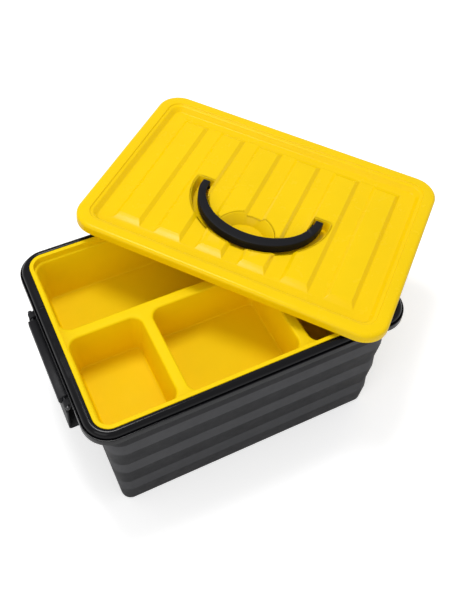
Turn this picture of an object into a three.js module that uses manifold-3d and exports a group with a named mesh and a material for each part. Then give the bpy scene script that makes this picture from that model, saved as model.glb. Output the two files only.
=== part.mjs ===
// A plastic toolbox: a tub with a zigzag wall, a lift-out tray with four
// compartments, a ribbed lid with a sunk bail handle, and a flip latch on a
// hinge pin at each end. Millimetres, +Z up, the origin at the middle of the
// tub's flat base. The lid is off and lies askew over the back right corner.

import * as THREE from 'three';
import { mergeVertices } from 'three/addons/utils/BufferGeometryUtils.js';
import Module from 'manifold-3d';

const wasm = await Module();
wasm.setup();

// Clearances, and how finely round shapes are stepped
const seatGap = 0.15;
const fitGap = 0.3;
const overrun = 1;
const cornerSteps = 6;
const beadSteps = 4;
const knuckleSteps = 6;
const roundSteps = 64;

// Tub: overall sizes of the rim and the wall below its flange
const rimLength = 330;
const rimWidth = 225.4;
const rimCornerRadius = 26.7;
const rimHeight = 150.8;
const flangeHeight = 12.2;
const wallTopInsetEnds = 12.6;
const wallTopInsetSides = 7.3;
const wallTopRadius = 20;
const wallBaseRadius = 10;
const wallThickness = 2.4;
const floorThickness = 2.5;
const baseEdge = 1.5;

// Tub: the wall's plain top, and below it bands in pairs; on the long sides they are a
// zigzag, a light band that leans out and a dark one that slants in
const plainHeight = 24.6;
const plainSlantEnds = 3.8;
const bandPairs = 3;
const bandSlantEnds = 12;
const lightBandShare = 0.353;
const lightLeanSides = 1.7;
const darkSlantSides = 2.6;

// Tub: the flange, its hanging skirt, the groove and the bead around the tray
const shoulderDrop = 6;
const shoulderWidth = 0.8;
const shoulderEdge = 0.6;
const skirtHeight = 7.3;
const skirtThickness = 1.8;
const flangeThickness = 2.3;
const grooveWidth = 1;
const grooveDepth = 1.1;
const beadCrestShare = 0.35;
const beadInnerDrop = 0.7;
const pocketInsetEnds = 10.1;
const pocketInsetSides = 8.35;
const pocketRadius = 16;
const ledgeWidth = 2.1;
const neckHeight = 8;
const notchLength = 84;
const notchDepth = 1.2;

// Tray; its dividers end level with the step below its lip
const lipWidth = 4;
const lipThickness = 2.2;
const lipEdge = 0.5;
const trayThickness = 1.8;
const trayStepDepth = 7;
const trayStepWidth = 2.2;
const trayDepth = 57.4;
const trayWallSlant = 7.4;
const trayWallRadius = 11;
const trayFillet = 2;
const trayFloorRadius = 5;
const dividerWidth = 11.4;
const dividerDraft = 1.4;
const dividerEdge = 1.8;
const longDividerBack = 11.5;
const leftDividerRight = -63.9;
const rightDividerRight = 61.9;

// Lid: overall sizes and the raised border, heights counted from its lower edge
const lidLength = 330.5;
const lidWidth = 236;
const lidRadius = 26.1;
const lidHeight = 10.5;
const lidThickness = 2;
const lidRounding = 4;
const borderWidth = 12.7;
const borderStepWidth = 0.7;
const borderStepDepth = 1.5;
const borderLedgeWidth = 2.8;
const borderLedgeDrop = 0.6;
const panelInset = 20.5;
const panelRadius = 8;
const panelHeight = 2.9;

// Lid: the ribs
const ribCount = 6;
const ribPitch = 45.4;
const ribWidth = 21.8;
const ribLength = 161.2;
const ribHeight = 3.5;
const ribSideRun = 4.1;
const ribEndRun = 7;
const ribCornerRadius = 0.6;

// Lid: the sunk pan, an arc round the handle and a finger scoop inside it
const panDepth = 7.3;
const panDraftLength = 2.5;
const panDraftWidth = 4;
const panFrontGap = 5;
const panSideGap = 7.5;
const panInnerGap = 2.5;
const panEndGap = 4.8;
const panEndDraft = 2;
const panEndRadius = 3.5;
const scoopRadius = 30;
const scoopSlope = 8;
const scoopCentreY = -48;

// Handle
const handleLength = 136;
const handleReach = 60.5;
const handleTipWidth = 8;
const handleGripWidth = 11.9;
const handleThickness = 10.6;
const handleRise = 4.1;
const handleEdge = 1.2;
const handleTipRadius = 4;
const handleTipDrop = 1.9;
const handleTaperLength = 11;
const pivotY = -1;
const pivotRise = 2.5;
const stubRadius = 1.6;
const stubEngagement = 2.2;

// Latches, sizes counted from the hinge pin with the latch hanging open
const pinOutset = 2.5;
const pinDrop = 22.8;
const pinRadius = 1.3;
const pinHeadRadius = 2.1;
const pinHeadLength = 2.6;
const lugRadius = 2.8;
const lugWidth = 6.5;
const lugGap = 3.3;
const lugRootHeight = 16;
const latchNeckWidth = 91.4;
const latchNeckTop = 2.9;
const latchNeckFace = 5.3;
const latchNeckDrop = 5.2;
const latchNeckFoot = 9;
const latchKnuckle = 4.7;
const latchWidth = 114.6;
const latchFace = 2.1;
const latchPlate = 2.2;
const latchShoulderDrop = 7;
const latchReach = 36.3;
const latchGrip = 7.7;
const latchGripHeight = 3.4;
const latchEdge = 1;
const latchFootRadius = 3;

// Where the lid lies: its middle, counted in from the right and back rims, its
// turn in degrees, and how far from its middle its lower edge and its panel rest
// on the right rim's bead and its pan rests on the back rim's
const lidInsetRight = 74.3;
const lidInsetBack = 47.3;
const lidTurn = -49.66;
const edgeRestAhead = 157.6;
const panelRestBehind = 8.3;
const panRestLeft = 39;

const yellowPlastic = { color: 0xfdd019, roughness: 0.45, metalness: 0 };
const tubPlastic = { color: 0x3c3c3f, roughness: 0.5, metalness: 0 };
const handlePlastic = { color: 0x2a2a2c, roughness: 0.6, metalness: 0 };
const latchPlastic = { color: 0x333336, roughness: 0.5, metalness: 0 };
const pinPlastic = { color: 0x26262a, roughness: 0.3, metalness: 0.1 };

// A closed geometry as a solid that can be cut and joined
function solidOf(geometry) {
  const bare = geometry.clone();
  bare.deleteAttribute('normal');
  bare.deleteAttribute('uv');
  const merged = mergeVertices(bare);
  const corners = merged.index.array;
  const kept = [];
  for (let at = 0; at < corners.length; at += 3) {
    const [first, second, third] = corners.slice(at, at + 3);
    if (first !== second && second !== third && third !== first) {
      kept.push(first, second, third);
    }
  }
  const vertProperties = Float32Array.from(merged.attributes.position.array);
  const triVerts = Uint32Array.from(kept);
  return new wasm.Manifold(new wasm.Mesh({ numProp: 3, vertProperties, triVerts }));
}

function meshOf(solid, name, look) {
  const { vertProperties, triVerts } = solid.getMesh();
  const geometry = new THREE.BufferGeometry();
  geometry.setAttribute('position', new THREE.BufferAttribute(vertProperties, 3));
  geometry.setIndex(new THREE.BufferAttribute(triVerts, 1));
  geometry.computeVertexNormals();
  const mesh = new THREE.Mesh(geometry, new THREE.MeshStandardMaterial(look));
  mesh.name = name;
  return mesh;
}

// Outlines seen from above, counterclockwise, each of a fixed number of points
function roundedOutline(left, right, front, back, radius) {
  const points = [];
  for (let corner = 0; corner < 4; corner += 1) {
    const centreX = corner === 0 || corner === 3 ? right - radius : left + radius;
    const centreY = corner < 2 ? back - radius : front + radius;
    for (let step = 0; step <= cornerSteps; step += 1) {
      const angle = (corner + step / cornerSteps) * Math.PI / 2;
      const x = centreX + radius * Math.cos(angle);
      const y = centreY + radius * Math.sin(angle);
      points.push(new THREE.Vector2(x, y));
    }
  }
  return points;
}

function ovalOutline(halfLength, halfWidth, centreY) {
  const curve = new THREE.EllipseCurve(0, centreY, halfLength, halfWidth);
  return curve.getPoints(roundSteps).slice(0, roundSteps);
}

// A solid through a stack of outlines with equal numbers of points: a lathe's
// rings, moved from circles onto the outlines, and closed at their middles.
function loft(rings) {
  const first = rings[0];
  const last = rings[rings.length - 1];
  const stack = [closing(first), ...rings, closing(last)];
  const sides = first.outline.length;
  const profile = stack.map((ring, level) => new THREE.Vector2(ring.closed ? 0 : 1, level));
  const geometry = new THREE.LatheGeometry(profile, sides);
  const place = geometry.attributes.position;
  for (let index = 0; index < place.count; index += 1) {
    const ring = stack[index % stack.length];
    const point = ring.outline[Math.floor(index / stack.length) % sides];
    place.setXYZ(index, point.x, point.y, ring.height);
  }
  return solidOf(geometry);
}

function closing(ring) {
  const middle = new THREE.Box2().setFromPoints(ring.outline).getCenter(new THREE.Vector2());
  return { outline: ring.outline.map(() => middle), height: ring.height, closed: true };
}

// A flat outline pushed along its own normal, from one height to another
function slab(shape, low, high, edge = 0) {
  const geometry = new THREE.ExtrudeGeometry(shape, {
    depth: high - low - 2 * edge,
    curveSegments: roundSteps / 2,
    bevelEnabled: edge > 0,
    bevelThickness: edge,
    bevelSize: edge,
    bevelOffset: -edge,
    bevelSegments: 2,
  });
  geometry.translate(0, 0, low + edge);
  return geometry;
}

function box(left, right, front, back, low, high) {
  const geometry = new THREE.BoxGeometry(right - left, back - front, high - low);
  geometry.translate((left + right) / 2, (front + back) / 2, (low + high) / 2);
  return solidOf(geometry);
}

// Tub heights that other pieces sit by
const wallHeight = rimHeight - flangeHeight;
const bandsHeight = wallHeight - plainHeight;
const pairHeight = bandsHeight / bandPairs;
const shoulderHeight = rimHeight - shoulderDrop;
const lipUnderside = rimHeight - lipThickness;
const ledgeHeight = lipUnderside - seatGap;
const ledgeRadius = pocketRadius - ledgeWidth;
const neckFoot = ledgeHeight - neckHeight;

function rimRing(insetEnds, insetSides, radius, height) {
  const halfLength = rimLength / 2 - insetEnds;
  const halfWidth = rimWidth / 2 - insetSides;
  return { outline: roundedOutline(-halfLength, halfLength, -halfWidth, halfWidth, radius), height };
}

// The wall after so many light and dark bands, counted down from the bands' top
function wallRing(lightBands, darkBands, thickness) {
  const fall = pairHeight * (lightBands * lightBandShare + darkBands * (1 - lightBandShare));
  const height = bandsHeight - fall;
  const insetEnds = wallTopInsetEnds + plainSlantEnds + bandSlantEnds * fall / bandsHeight;
  const insetSides = wallTopInsetSides + darkBands * darkSlantSides - lightBands * lightLeanSides;
  const radius = wallBaseRadius + (wallTopRadius - wallBaseRadius) * height / wallHeight;
  return rimRing(insetEnds + thickness, insetSides + thickness, radius - thickness, height);
}

function wallTopRing(thickness) {
  return rimRing(
    wallTopInsetEnds + thickness,
    wallTopInsetSides + thickness,
    wallTopRadius - thickness,
    wallHeight,
  );
}

// The bead's cross-section: share 0 is on the pocket that takes the tray's lip,
// and share 1 on the groove
const beadOuterInset = shoulderWidth + grooveWidth;

function beadRing(share, height) {
  return rimRing(
    pocketInsetEnds + share * (beadOuterInset - pocketInsetEnds),
    pocketInsetSides + share * (beadOuterInset - pocketInsetSides),
    pocketRadius + share * (rimCornerRadius - beadOuterInset - pocketRadius),
    height,
  );
}

function tubWall() {
  const outerWall = [];
  const innerWall = [];
  for (let pair = bandPairs; pair > 0; pair -= 1) {
    outerWall.push(wallRing(pair, pair, 0), wallRing(pair, pair - 1, 0));
    innerWall.unshift(wallRing(pair, pair - 1, wallThickness), wallRing(pair, pair, wallThickness));
  }
  const foot = wallRing(bandPairs, bandPairs, baseEdge);
  outerWall[0].height = baseEdge;
  innerWall[innerWall.length - 1].height = floorThickness;
  const flangeUnderside = shoulderHeight - flangeThickness;
  const skirtRadius = rimCornerRadius - skirtThickness;
  const neckInsetEnds = pocketInsetEnds + ledgeWidth - wallThickness;
  const flange = [
    wallRing(0, 0, 0),
    wallTopRing(0),
    rimRing(neckInsetEnds, wallTopInsetSides, wallTopRadius, neckFoot),
    rimRing(neckInsetEnds, wallTopInsetSides, wallTopRadius, flangeUnderside),
    rimRing(skirtThickness, skirtThickness, skirtRadius, flangeUnderside),
    rimRing(skirtThickness, skirtThickness, skirtRadius, shoulderHeight - skirtHeight),
    rimRing(0, 0, rimCornerRadius, shoulderHeight - skirtHeight),
    rimRing(0, 0, rimCornerRadius, shoulderHeight - shoulderEdge),
    rimRing(shoulderEdge, shoulderEdge, rimCornerRadius - shoulderEdge, shoulderHeight),
  ];
  const beadRise = rimHeight - shoulderHeight;
  const grooveMiddle = shoulderWidth + grooveWidth / 2;
  const bead = [
    rimRing(shoulderWidth, shoulderWidth, rimCornerRadius - shoulderWidth, shoulderHeight),
    rimRing(grooveMiddle, grooveMiddle, rimCornerRadius - grooveMiddle, shoulderHeight - grooveDepth),
  ];
  for (let step = 0; step <= beadSteps; step += 1) {
    const turn = step / beadSteps * Math.PI / 2;
    const share = beadCrestShare + (1 - beadCrestShare) * Math.cos(turn);
    bead.push(beadRing(share, shoulderHeight + beadRise * Math.sin(turn)));
  }
  for (const turn of [Math.PI / 4, Math.PI / 2]) {
    const share = beadCrestShare * (1 - Math.sin(turn));
    bead.push(beadRing(share, rimHeight - beadInnerDrop * (1 - Math.cos(turn))));
  }
  bead.push(
    beadRing(0, ledgeHeight),
    rimRing(pocketInsetEnds + ledgeWidth, pocketInsetSides + ledgeWidth, ledgeRadius, ledgeHeight),
    rimRing(pocketInsetEnds + ledgeWidth, pocketInsetSides + ledgeWidth, ledgeRadius, neckFoot),
  );
  const innerTop = [wallTopRing(wallThickness), wallRing(0, 0, wallThickness)];
  return loft([foot, ...outerWall, ...flange, ...bead, ...innerTop, ...innerWall]);
}

const pinHeight = rimHeight - pinDrop;
const pinX = rimLength / 2 + pinOutset;

// A shape drawn in x and z, standing upright between two places along y
function upright(shape, front, back, edge = 0) {
  const geometry = slab(shape, -back, -front, edge);
  geometry.rotateX(Math.PI / 2);
  return solidOf(geometry);
}

function rod(radius, side, front, back) {
  const geometry = new THREE.CylinderGeometry(radius, radius, back - front, roundSteps / 4);
  geometry.translate(side * pinX, (front + back) / 2, pinHeight);
  return solidOf(geometry);
}

// Hinge lugs beside the latch's neck, rooted in the middle of the end wall's
// thickness; side is 1 at the right end and -1 at the left
const lugInnerY = latchNeckWidth / 2 + lugGap;
const lugOuterY = lugInnerY + lugWidth;

function rootX(height) {
  const slant = plainSlantEnds * (wallHeight - height) / plainHeight;
  return rimLength / 2 - wallTopInsetEnds - slant - wallThickness / 2;
}

function lugShape(side) {
  const high = pinHeight + lugRootHeight / 2;
  const low = pinHeight - lugRootHeight / 2;
  const shape = new THREE.Shape();
  shape.moveTo(side * rootX(high), high);
  shape.lineTo(side * rootX(low), low);
  shape.lineTo(side * pinX, pinHeight - lugRadius);
  shape.absarc(side * pinX, pinHeight, lugRadius, -Math.PI / 2, Math.PI / 2, side < 0);
  shape.closePath();
  return shape;
}

function makeTub() {
  let tub = tubWall();
  for (const side of [-1, 1]) {
    tub = tub.add(upright(lugShape(side), lugInnerY, lugOuterY));
    tub = tub.add(upright(lugShape(side), -lugOuterY, -lugInnerY));
    tub = tub.subtract(rod(pinRadius + fitGap, side, -lugOuterY - overrun, lugOuterY + overrun));
    const outerX = side * (rimLength / 2 + overrun);
    const innerX = side * (rimLength / 2 - pocketInsetEnds - overrun);
    const notch = box(
      Math.min(outerX, innerX), Math.max(outerX, innerX),
      -notchLength / 2, notchLength / 2,
      rimHeight - notchDepth, rimHeight + overrun,
    );
    tub = tub.subtract(notch);
  }
  return tub;
}

// Tray: insets are counted from the rim's outline, as the tub's are
const lipInsetEnds = pocketInsetEnds + fitGap;
const lipInsetSides = pocketInsetSides + fitGap;
const lipRadius = pocketRadius - fitGap;
const trayStepHeight = rimHeight - trayStepDepth;
const trayFloor = rimHeight - trayDepth;
const trayWallInset = lipWidth + trayStepWidth;

function trayRing(inward, radius, height) {
  return rimRing(lipInsetEnds + inward, lipInsetSides + inward, radius, height);
}

// The slanted main wall's inner face, inward of the lip's edge at a height
function wallInward(height) {
  return trayWallInset + trayWallSlant * (trayStepHeight - height) / (trayStepHeight - trayFloor);
}

function trayBody() {
  const rounded = trayFillet + trayThickness;
  const underside = trayFloor - trayThickness;
  const footInward = wallInward(underside + rounded) - trayThickness;
  const rings = [];
  for (const turn of [0, 0.25, 0.5, 0.75, 1]) {
    const angle = turn * Math.PI / 2;
    const inward = footInward + rounded * (1 - Math.sin(angle));
    const radius = trayFloorRadius + trayThickness + rounded * Math.sin(angle);
    rings.push(trayRing(inward, radius, underside + rounded * (1 - Math.cos(angle))));
  }
  const stepUnderside = trayStepHeight - trayThickness;
  const outside = wallInward(stepUnderside) - trayThickness;
  const neck = lipWidth - trayThickness;
  rings.push(
    trayRing(outside, trayWallRadius + trayThickness, stepUnderside),
    trayRing(neck, lipRadius - neck, stepUnderside),
    trayRing(neck, lipRadius - neck, lipUnderside),
    trayRing(0, lipRadius, lipUnderside),
    trayRing(0, lipRadius, rimHeight - lipEdge),
    trayRing(lipEdge, lipRadius - lipEdge, rimHeight),
  );
  return loft(rings);
}

// The space above the dividers, opened up to the lip
function trayMouth() {
  const neckRadius = lipRadius - lipWidth;
  return loft([
    trayRing(lipWidth, neckRadius, trayStepHeight),
    trayRing(lipWidth, neckRadius, rimHeight - lipEdge),
    trayRing(lipWidth - lipEdge, neckRadius + lipEdge, rimHeight),
    trayRing(lipWidth - lipEdge, neckRadius + lipEdge, rimHeight + overrun),
  ]);
}

// A compartment's outline at a height: sides on the tray's wall follow its
// slant, and sides on a divider have a draft of their own.
function compartmentRing(bay, height, extra, radius) {
  const inward = wallInward(height) + extra;
  const wallX = rimLength / 2 - lipInsetEnds - inward;
  const wallY = rimWidth / 2 - lipInsetSides - inward;
  const draft = dividerDraft * (trayStepHeight - height) / (trayStepHeight - trayFloor) + extra;
  const left = bay.left === undefined ? -wallX : bay.left + draft;
  const right = bay.right === undefined ? wallX : bay.right - draft;
  const front = bay.front === undefined ? -wallY : bay.front + draft;
  const back = bay.back === undefined ? wallY : bay.back - draft;
  return { outline: roundedOutline(left, right, front, back, radius), height };
}

function compartment(bay) {
  const rings = [];
  for (const turn of [0, 0.25, 0.5, 0.75, 1]) {
    const angle = turn * Math.PI / 2;
    const height = trayFloor + trayFillet * (1 - Math.cos(angle));
    const radius = trayFloorRadius + trayFillet * Math.sin(angle);
    rings.push(compartmentRing(bay, height, trayFillet * (1 - Math.sin(angle)), radius));
  }
  const edge = compartmentRing(bay, trayStepHeight - dividerEdge, 0, trayWallRadius);
  const flared = {
    left: bay.left === undefined ? undefined : bay.left - dividerEdge,
    right: bay.right === undefined ? undefined : bay.right + dividerEdge,
    front: bay.front === undefined ? undefined : bay.front - dividerEdge,
    back: bay.back === undefined ? undefined : bay.back + dividerEdge,
  };
  const mouth = compartmentRing(flared, trayStepHeight, 0, trayWallRadius);
  rings.push(edge, mouth, { outline: mouth.outline, height: trayStepHeight + overrun });
  return loft(rings);
}

const bays = {
  back: { front: longDividerBack },
  left: { right: leftDividerRight - dividerWidth, back: longDividerBack - dividerWidth },
  middle: {
    left: leftDividerRight,
    right: rightDividerRight - dividerWidth,
    back: longDividerBack - dividerWidth,
  },
  right: { left: rightDividerRight, back: longDividerBack - dividerWidth },
};

// The hollow under a divider, open below, a wall's thickness inside its faces
function hollowRing(left, right, front, back, height) {
  const draft = dividerDraft * (trayStepHeight - height) / (trayStepHeight - trayFloor);
  const inward = wallInward(height);
  const wallX = rimLength / 2 - lipInsetEnds - inward;
  const wallY = rimWidth / 2 - lipInsetSides - inward;
  const outline = roundedOutline(
    left === undefined ? -wallX : left + trayThickness - draft,
    right === undefined ? wallX : right - trayThickness + draft,
    front === undefined ? -wallY : front + trayThickness - draft,
    back - trayThickness + draft,
    trayThickness / 2,
  );
  return { outline, height };
}

function dividerHollow(left, right, front, back) {
  return loft([
    hollowRing(left, right, front, back, trayFloor - trayThickness - overrun),
    hollowRing(left, right, front, back, trayStepHeight - trayThickness),
  ]);
}

function makeTray() {
  let tray = trayBody().subtract(trayMouth());
  for (const bay of Object.values(bays)) {
    tray = tray.subtract(compartment(bay));
  }
  const longFront = longDividerBack - dividerWidth;
  const join = longDividerBack - dividerWidth / 2;
  tray = tray.subtract(dividerHollow(undefined, undefined, longFront, longDividerBack));
  for (const right of [leftDividerRight, rightDividerRight]) {
    tray = tray.subtract(dividerHollow(right - dividerWidth, right, undefined, join));
  }
  return tray;
}

// Lid, in its own frame: the origin in the middle of its lower edge's plane
function lidRing(inset, height) {
  const radius = lidRadius - inset * (lidRadius - panelRadius) / panelInset;
  const halfLength = lidLength / 2 - inset;
  const halfWidth = lidWidth / 2 - inset;
  return { outline: roundedOutline(-halfLength, halfLength, -halfWidth, halfWidth, radius), height };
}

function lidShell() {
  const ledgeInset = borderWidth + borderStepWidth + borderLedgeWidth;
  const ledgeTop = lidHeight - borderStepDepth;
  const ledgeEnd = ledgeTop - borderLedgeDrop;
  const underBorder = lidHeight - lidThickness;
  const panelUnderside = panelHeight - lidThickness;
  const sixth = Math.PI / 6;
  const rounding = [1, 2, 3].map((step) => lidRing(
    lidRounding * (1 - Math.cos(step * sixth)),
    lidHeight - lidRounding * (1 - Math.sin(step * sixth)),
  ));
  return loft([
    lidRing(panelInset - lidThickness * 0.6, panelUnderside),
    lidRing(ledgeInset - lidThickness * 0.6, ledgeEnd - lidThickness),
    lidRing(borderWidth - lidThickness * 0.4, underBorder),
    lidRing(lidThickness, underBorder),
    lidRing(lidThickness, 0),
    lidRing(0, 0),
    lidRing(0, lidHeight - lidRounding),
    ...rounding,
    lidRing(borderWidth, lidHeight),
    lidRing(borderWidth + borderStepWidth, ledgeTop),
    lidRing(ledgeInset, ledgeEnd),
    lidRing(panelInset, panelHeight),
  ]);
}

// A rib, or the hollow below it when cover is the thickness left above it
const ribTop = panelHeight + ribHeight;

function ribRing(centreX, height, coverSides, coverEnds) {
  const share = (ribTop - height) / ribHeight;
  const halfWidth = ribWidth / 2 + share * ribSideRun - coverSides;
  const halfLength = ribLength / 2 + share * ribEndRun - coverEnds;
  const left = centreX - halfWidth;
  const right = centreX + halfWidth;
  return { outline: roundedOutline(left, right, -halfLength, halfLength, ribCornerRadius), height };
}

function rib(centreX) {
  const base = panelHeight - lidThickness / 2;
  return loft([ribRing(centreX, base, 0, 0), ribRing(centreX, ribTop, 0, 0)]);
}

function ribHollow(centreX) {
  const sides = lidThickness * Math.hypot(ribSideRun, ribHeight) / ribHeight;
  const ends = lidThickness * Math.hypot(ribEndRun, ribHeight) / ribHeight;
  const base = panelHeight - lidThickness - overrun;
  const top = ribTop - lidThickness;
  return loft([ribRing(centreX, base, sides, ends), ribRing(centreX, top, sides, ends)]);
}

const ribPlaces = [];
for (let rank = 0; rank < ribCount; rank += 1) {
  ribPlaces.push((rank - (ribCount - 1) / 2) * ribPitch);
}

// The sunk pan: an arc round the handle and a finger scoop inside the arc.
// Each function makes the hollow, or with a wall added, what is round it.
const panFloor = panelHeight - panDepth;
const handleUnderside = ribTop + handleRise - handleThickness;

function cone(low, high, halfLength, halfWidth, draftLength, draftWidth) {
  return loft([low, high].map((height) => {
    const share = (ribTop - height) / (ribTop - panFloor);
    const outline = ovalOutline(halfLength - share * draftLength, halfWidth - share * draftWidth, 0);
    return { outline, height };
  }));
}

function scoop(low, high, wall) {
  return loft([low, high].map((height) => {
    const radius = scoopRadius - scoopSlope * (ribTop - height) / (ribTop - panFloor) + wall;
    return { outline: ovalOutline(radius, radius, scoopCentreY), height };
  }));
}

function panSolid(low, high, wall) {
  const halfLength = handleLength / 2 + panSideGap + wall;
  const halfWidth = handleReach + panFrontGap - pivotY + wall;
  const innerLength = handleLength / 2 - handleTipWidth - panInnerGap - wall;
  const innerWidth = handleReach - handleGripWidth + pivotY - wall;
  const outer = cone(low, high, halfLength, halfWidth, panDraftLength, panDraftWidth);
  const draft = -panDraftLength;
  const inner = cone(low - overrun, high + overrun, innerLength, innerWidth, draft / 2, draft);
  const behind = pivotY + handleTipRadius + panEndGap + wall;
  const share = (ribTop - low) / (ribTop - panFloor);
  const front = halfWidth + panEndRadius;
  const radius = panEndRadius + wall;
  const lowLength = halfLength - share * panDraftLength;
  const lowBehind = behind - share * panEndDraft;
  const arc = outer.subtract(inner).intersect(loft([
    { outline: roundedOutline(-lowLength, lowLength, -front, lowBehind, radius), height: low - overrun },
    { outline: roundedOutline(-halfLength, halfLength, -front, behind, radius), height: high + overrun },
  ]));
  return arc.add(scoop(low, high, wall).intersect(outer));
}

function makeLid() {
  let lid = lidShell();
  for (const place of ribPlaces) {
    lid = lid.add(rib(place));
  }
  for (const place of ribPlaces) {
    lid = lid.subtract(ribHollow(place));
  }
  const panUnderside = panFloor - lidThickness;
  const halfPanel = lidWidth / 2 - panelInset;
  const low = panUnderside - overrun;
  let envelope = box(-lidLength / 4, lidLength / 4, -halfPanel, halfPanel, low, panelHeight);
  for (const place of ribPlaces) {
    envelope = envelope.add(rib(place));
  }
  lid = lid.add(panSolid(panUnderside, ribTop + overrun, lidThickness).intersect(envelope));
  lid = lid.subtract(panSolid(panFloor, ribTop + overrun, 0));
  return lid.subtract(stub(stubRadius + fitGap, fitGap));
}

// Handle, in the lid's frame: its outline from above, kept inside its profile from the side
const pivotHeight = handleUnderside + pivotRise;
const handleInnerX = handleLength / 2 - handleTipWidth;

function stub(radius, extra) {
  const reach = panInnerGap + stubEngagement + extra;
  const length = handleTipWidth / 2 + reach;
  let stubs;
  for (const side of [-1, 1]) {
    const geometry = new THREE.CylinderGeometry(radius, radius, length, roundSteps / 4);
    geometry.rotateZ(Math.PI / 2);
    geometry.translate(side * (handleInnerX - reach + length / 2), pivotY, pivotHeight);
    const solid = solidOf(geometry);
    stubs = stubs ? stubs.add(solid) : solid;
  }
  return stubs;
}

function makeHandle() {
  const tipEnd = pivotY + handleTipRadius;
  const fromAbove = new THREE.Shape();
  fromAbove.moveTo(-handleLength / 2, tipEnd);
  fromAbove.lineTo(-handleLength / 2, pivotY);
  fromAbove.absellipse(0, pivotY, handleLength / 2, handleReach, Math.PI, 2 * Math.PI, false, 0);
  fromAbove.lineTo(handleLength / 2, tipEnd);
  fromAbove.lineTo(handleInnerX, tipEnd);
  fromAbove.lineTo(handleInnerX, pivotY);
  fromAbove.absellipse(0, pivotY, handleInnerX, handleReach - handleGripWidth, 0, Math.PI, true, 0);
  fromAbove.lineTo(-handleInnerX, tipEnd);
  fromAbove.closePath();
  const top = handleUnderside + handleThickness;
  const body = solidOf(slab(fromAbove, pivotHeight - handleTipRadius, top, handleEdge));
  const fromSide = new THREE.Shape();
  const front = pivotY - handleReach - overrun;
  const tipStart = Math.PI + Math.asin(pivotRise / handleTipRadius);
  fromSide.moveTo(front, handleUnderside);
  fromSide.absarc(pivotY, pivotHeight, handleTipRadius, tipStart, 2 * Math.PI, false);
  fromSide.lineTo(tipEnd - handleEdge / 2, top - handleTipDrop - handleEdge);
  fromSide.lineTo(tipEnd - handleEdge * 2, top - handleTipDrop);
  fromSide.lineTo(pivotY - handleTaperLength, top);
  fromSide.lineTo(front, top);
  fromSide.closePath();
  const wide = handleLength / 2 + overrun;
  const turned = slab(fromSide, -wide, wide);
  turned.rotateX(Math.PI / 2);
  turned.rotateZ(Math.PI / 2);
  return body.intersect(solidOf(turned)).add(stub(stubRadius, 0));
}

// Latches, hanging open from their pins; x counts outwards from the box
function latchShape(side, corners) {
  const shape = new THREE.Shape();
  corners.forEach(([outward, up], rank) => {
    const x = side * (pinX + outward);
    const z = pinHeight + up;
    if (rank === 0) {
      shape.moveTo(x, z);
    } else {
      shape.lineTo(x, z);
    }
  });
  shape.closePath();
  return shape;
}

function makeLatch(side) {
  const knuckle = [];
  const start = Math.asin(latchNeckTop / latchKnuckle);
  for (let step = 0; step <= knuckleSteps; step += 1) {
    const turn = Math.PI - start + step / knuckleSteps * (Math.PI / 2 + start);
    knuckle.push([latchKnuckle * Math.cos(turn), latchKnuckle * Math.sin(turn)]);
  }
  const back = latchFace - latchPlate;
  const neck = latchShape(side, [
    [latchNeckFace, latchNeckTop - latchEdge],
    [latchNeckFace - latchEdge, latchNeckTop],
    ...knuckle,
    [back, -latchShoulderDrop],
    [back, -latchNeckFoot],
    [latchFace, -latchNeckFoot],
    [latchNeckFace, -latchNeckDrop],
  ]);
  const plate = latchShape(side, [
    [latchFace, -latchShoulderDrop],
    [latchFace, latchFootRadius - latchReach],
    [latchFace - latchFootRadius * 0.3, latchFootRadius * 0.3 - latchReach],
    [latchFace - latchFootRadius, -latchReach],
    [back - latchGrip, -latchReach],
    [back - latchGrip, latchGripHeight - latchReach],
    [back, latchGripHeight - latchReach],
    [back, -latchShoulderDrop],
  ]);
  const neckHalf = latchNeckWidth / 2;
  const half = latchWidth / 2;
  const latch = upright(neck, -neckHalf, neckHalf).add(upright(plate, -half, half));
  return latch.subtract(rod(pinRadius + fitGap, side, -neckHalf - overrun, neckHalf + overrun));
}

function makePin(side) {
  const shank = lugOuterY + seatGap;
  const head = shank + pinHeadLength;
  return rod(pinRadius, side, -shank - overrun, shank + overrun)
    .add(rod(pinHeadRadius, side, -head, -shank))
    .add(rod(pinHeadRadius, side, shank, head));
}

// The lid's lower edge lies in the plane that rests on the bead at three places
function layLid(group) {
  const crestX = rimLength / 2 - pocketInsetEnds + beadCrestShare * (pocketInsetEnds - beadOuterInset);
  const crestY = rimWidth / 2 - pocketInsetSides + beadCrestShare * (pocketInsetSides - beadOuterInset);
  const crest = rimHeight + seatGap;
  const middle = new THREE.Vector3(rimLength / 2 - lidInsetRight, rimWidth / 2 - lidInsetBack, 0);
  const panelRestY = middle.y + panelRestBehind;
  const plane = new THREE.Plane().setFromCoplanarPoints(
    new THREE.Vector3(crestX, middle.y - edgeRestAhead, crest),
    new THREE.Vector3(crestX, panelRestY, crest - (panelHeight - lidThickness)),
    new THREE.Vector3(middle.x - panRestLeft, crestY, crest - (panFloor - lidThickness)),
  );
  const up = new THREE.Vector3(0, 0, 1);
  middle.z = -plane.distanceToPoint(middle) / plane.normal.z;
  group.position.copy(middle);
  group.quaternion.setFromUnitVectors(up, plane.normal);
  group.rotateZ(THREE.MathUtils.degToRad(lidTurn));
}

const toolbox = new THREE.Group();
toolbox.add(meshOf(makeTub(), 'tub', tubPlastic));
toolbox.add(meshOf(makeTray(), 'tray', yellowPlastic));

const laidLid = new THREE.Group();
laidLid.add(meshOf(makeLid(), 'lid', yellowPlastic));
laidLid.add(meshOf(makeHandle(), 'handle', handlePlastic));
layLid(laidLid);
toolbox.add(laidLid);

for (const [name, side] of [['left', -1], ['right', 1]]) {
  toolbox.add(meshOf(makeLatch(side), `latch_${name}`, latchPlastic));
  toolbox.add(meshOf(makePin(side), `latch_pin_${name}`, pinPlastic));
}

export default toolbox;
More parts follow.
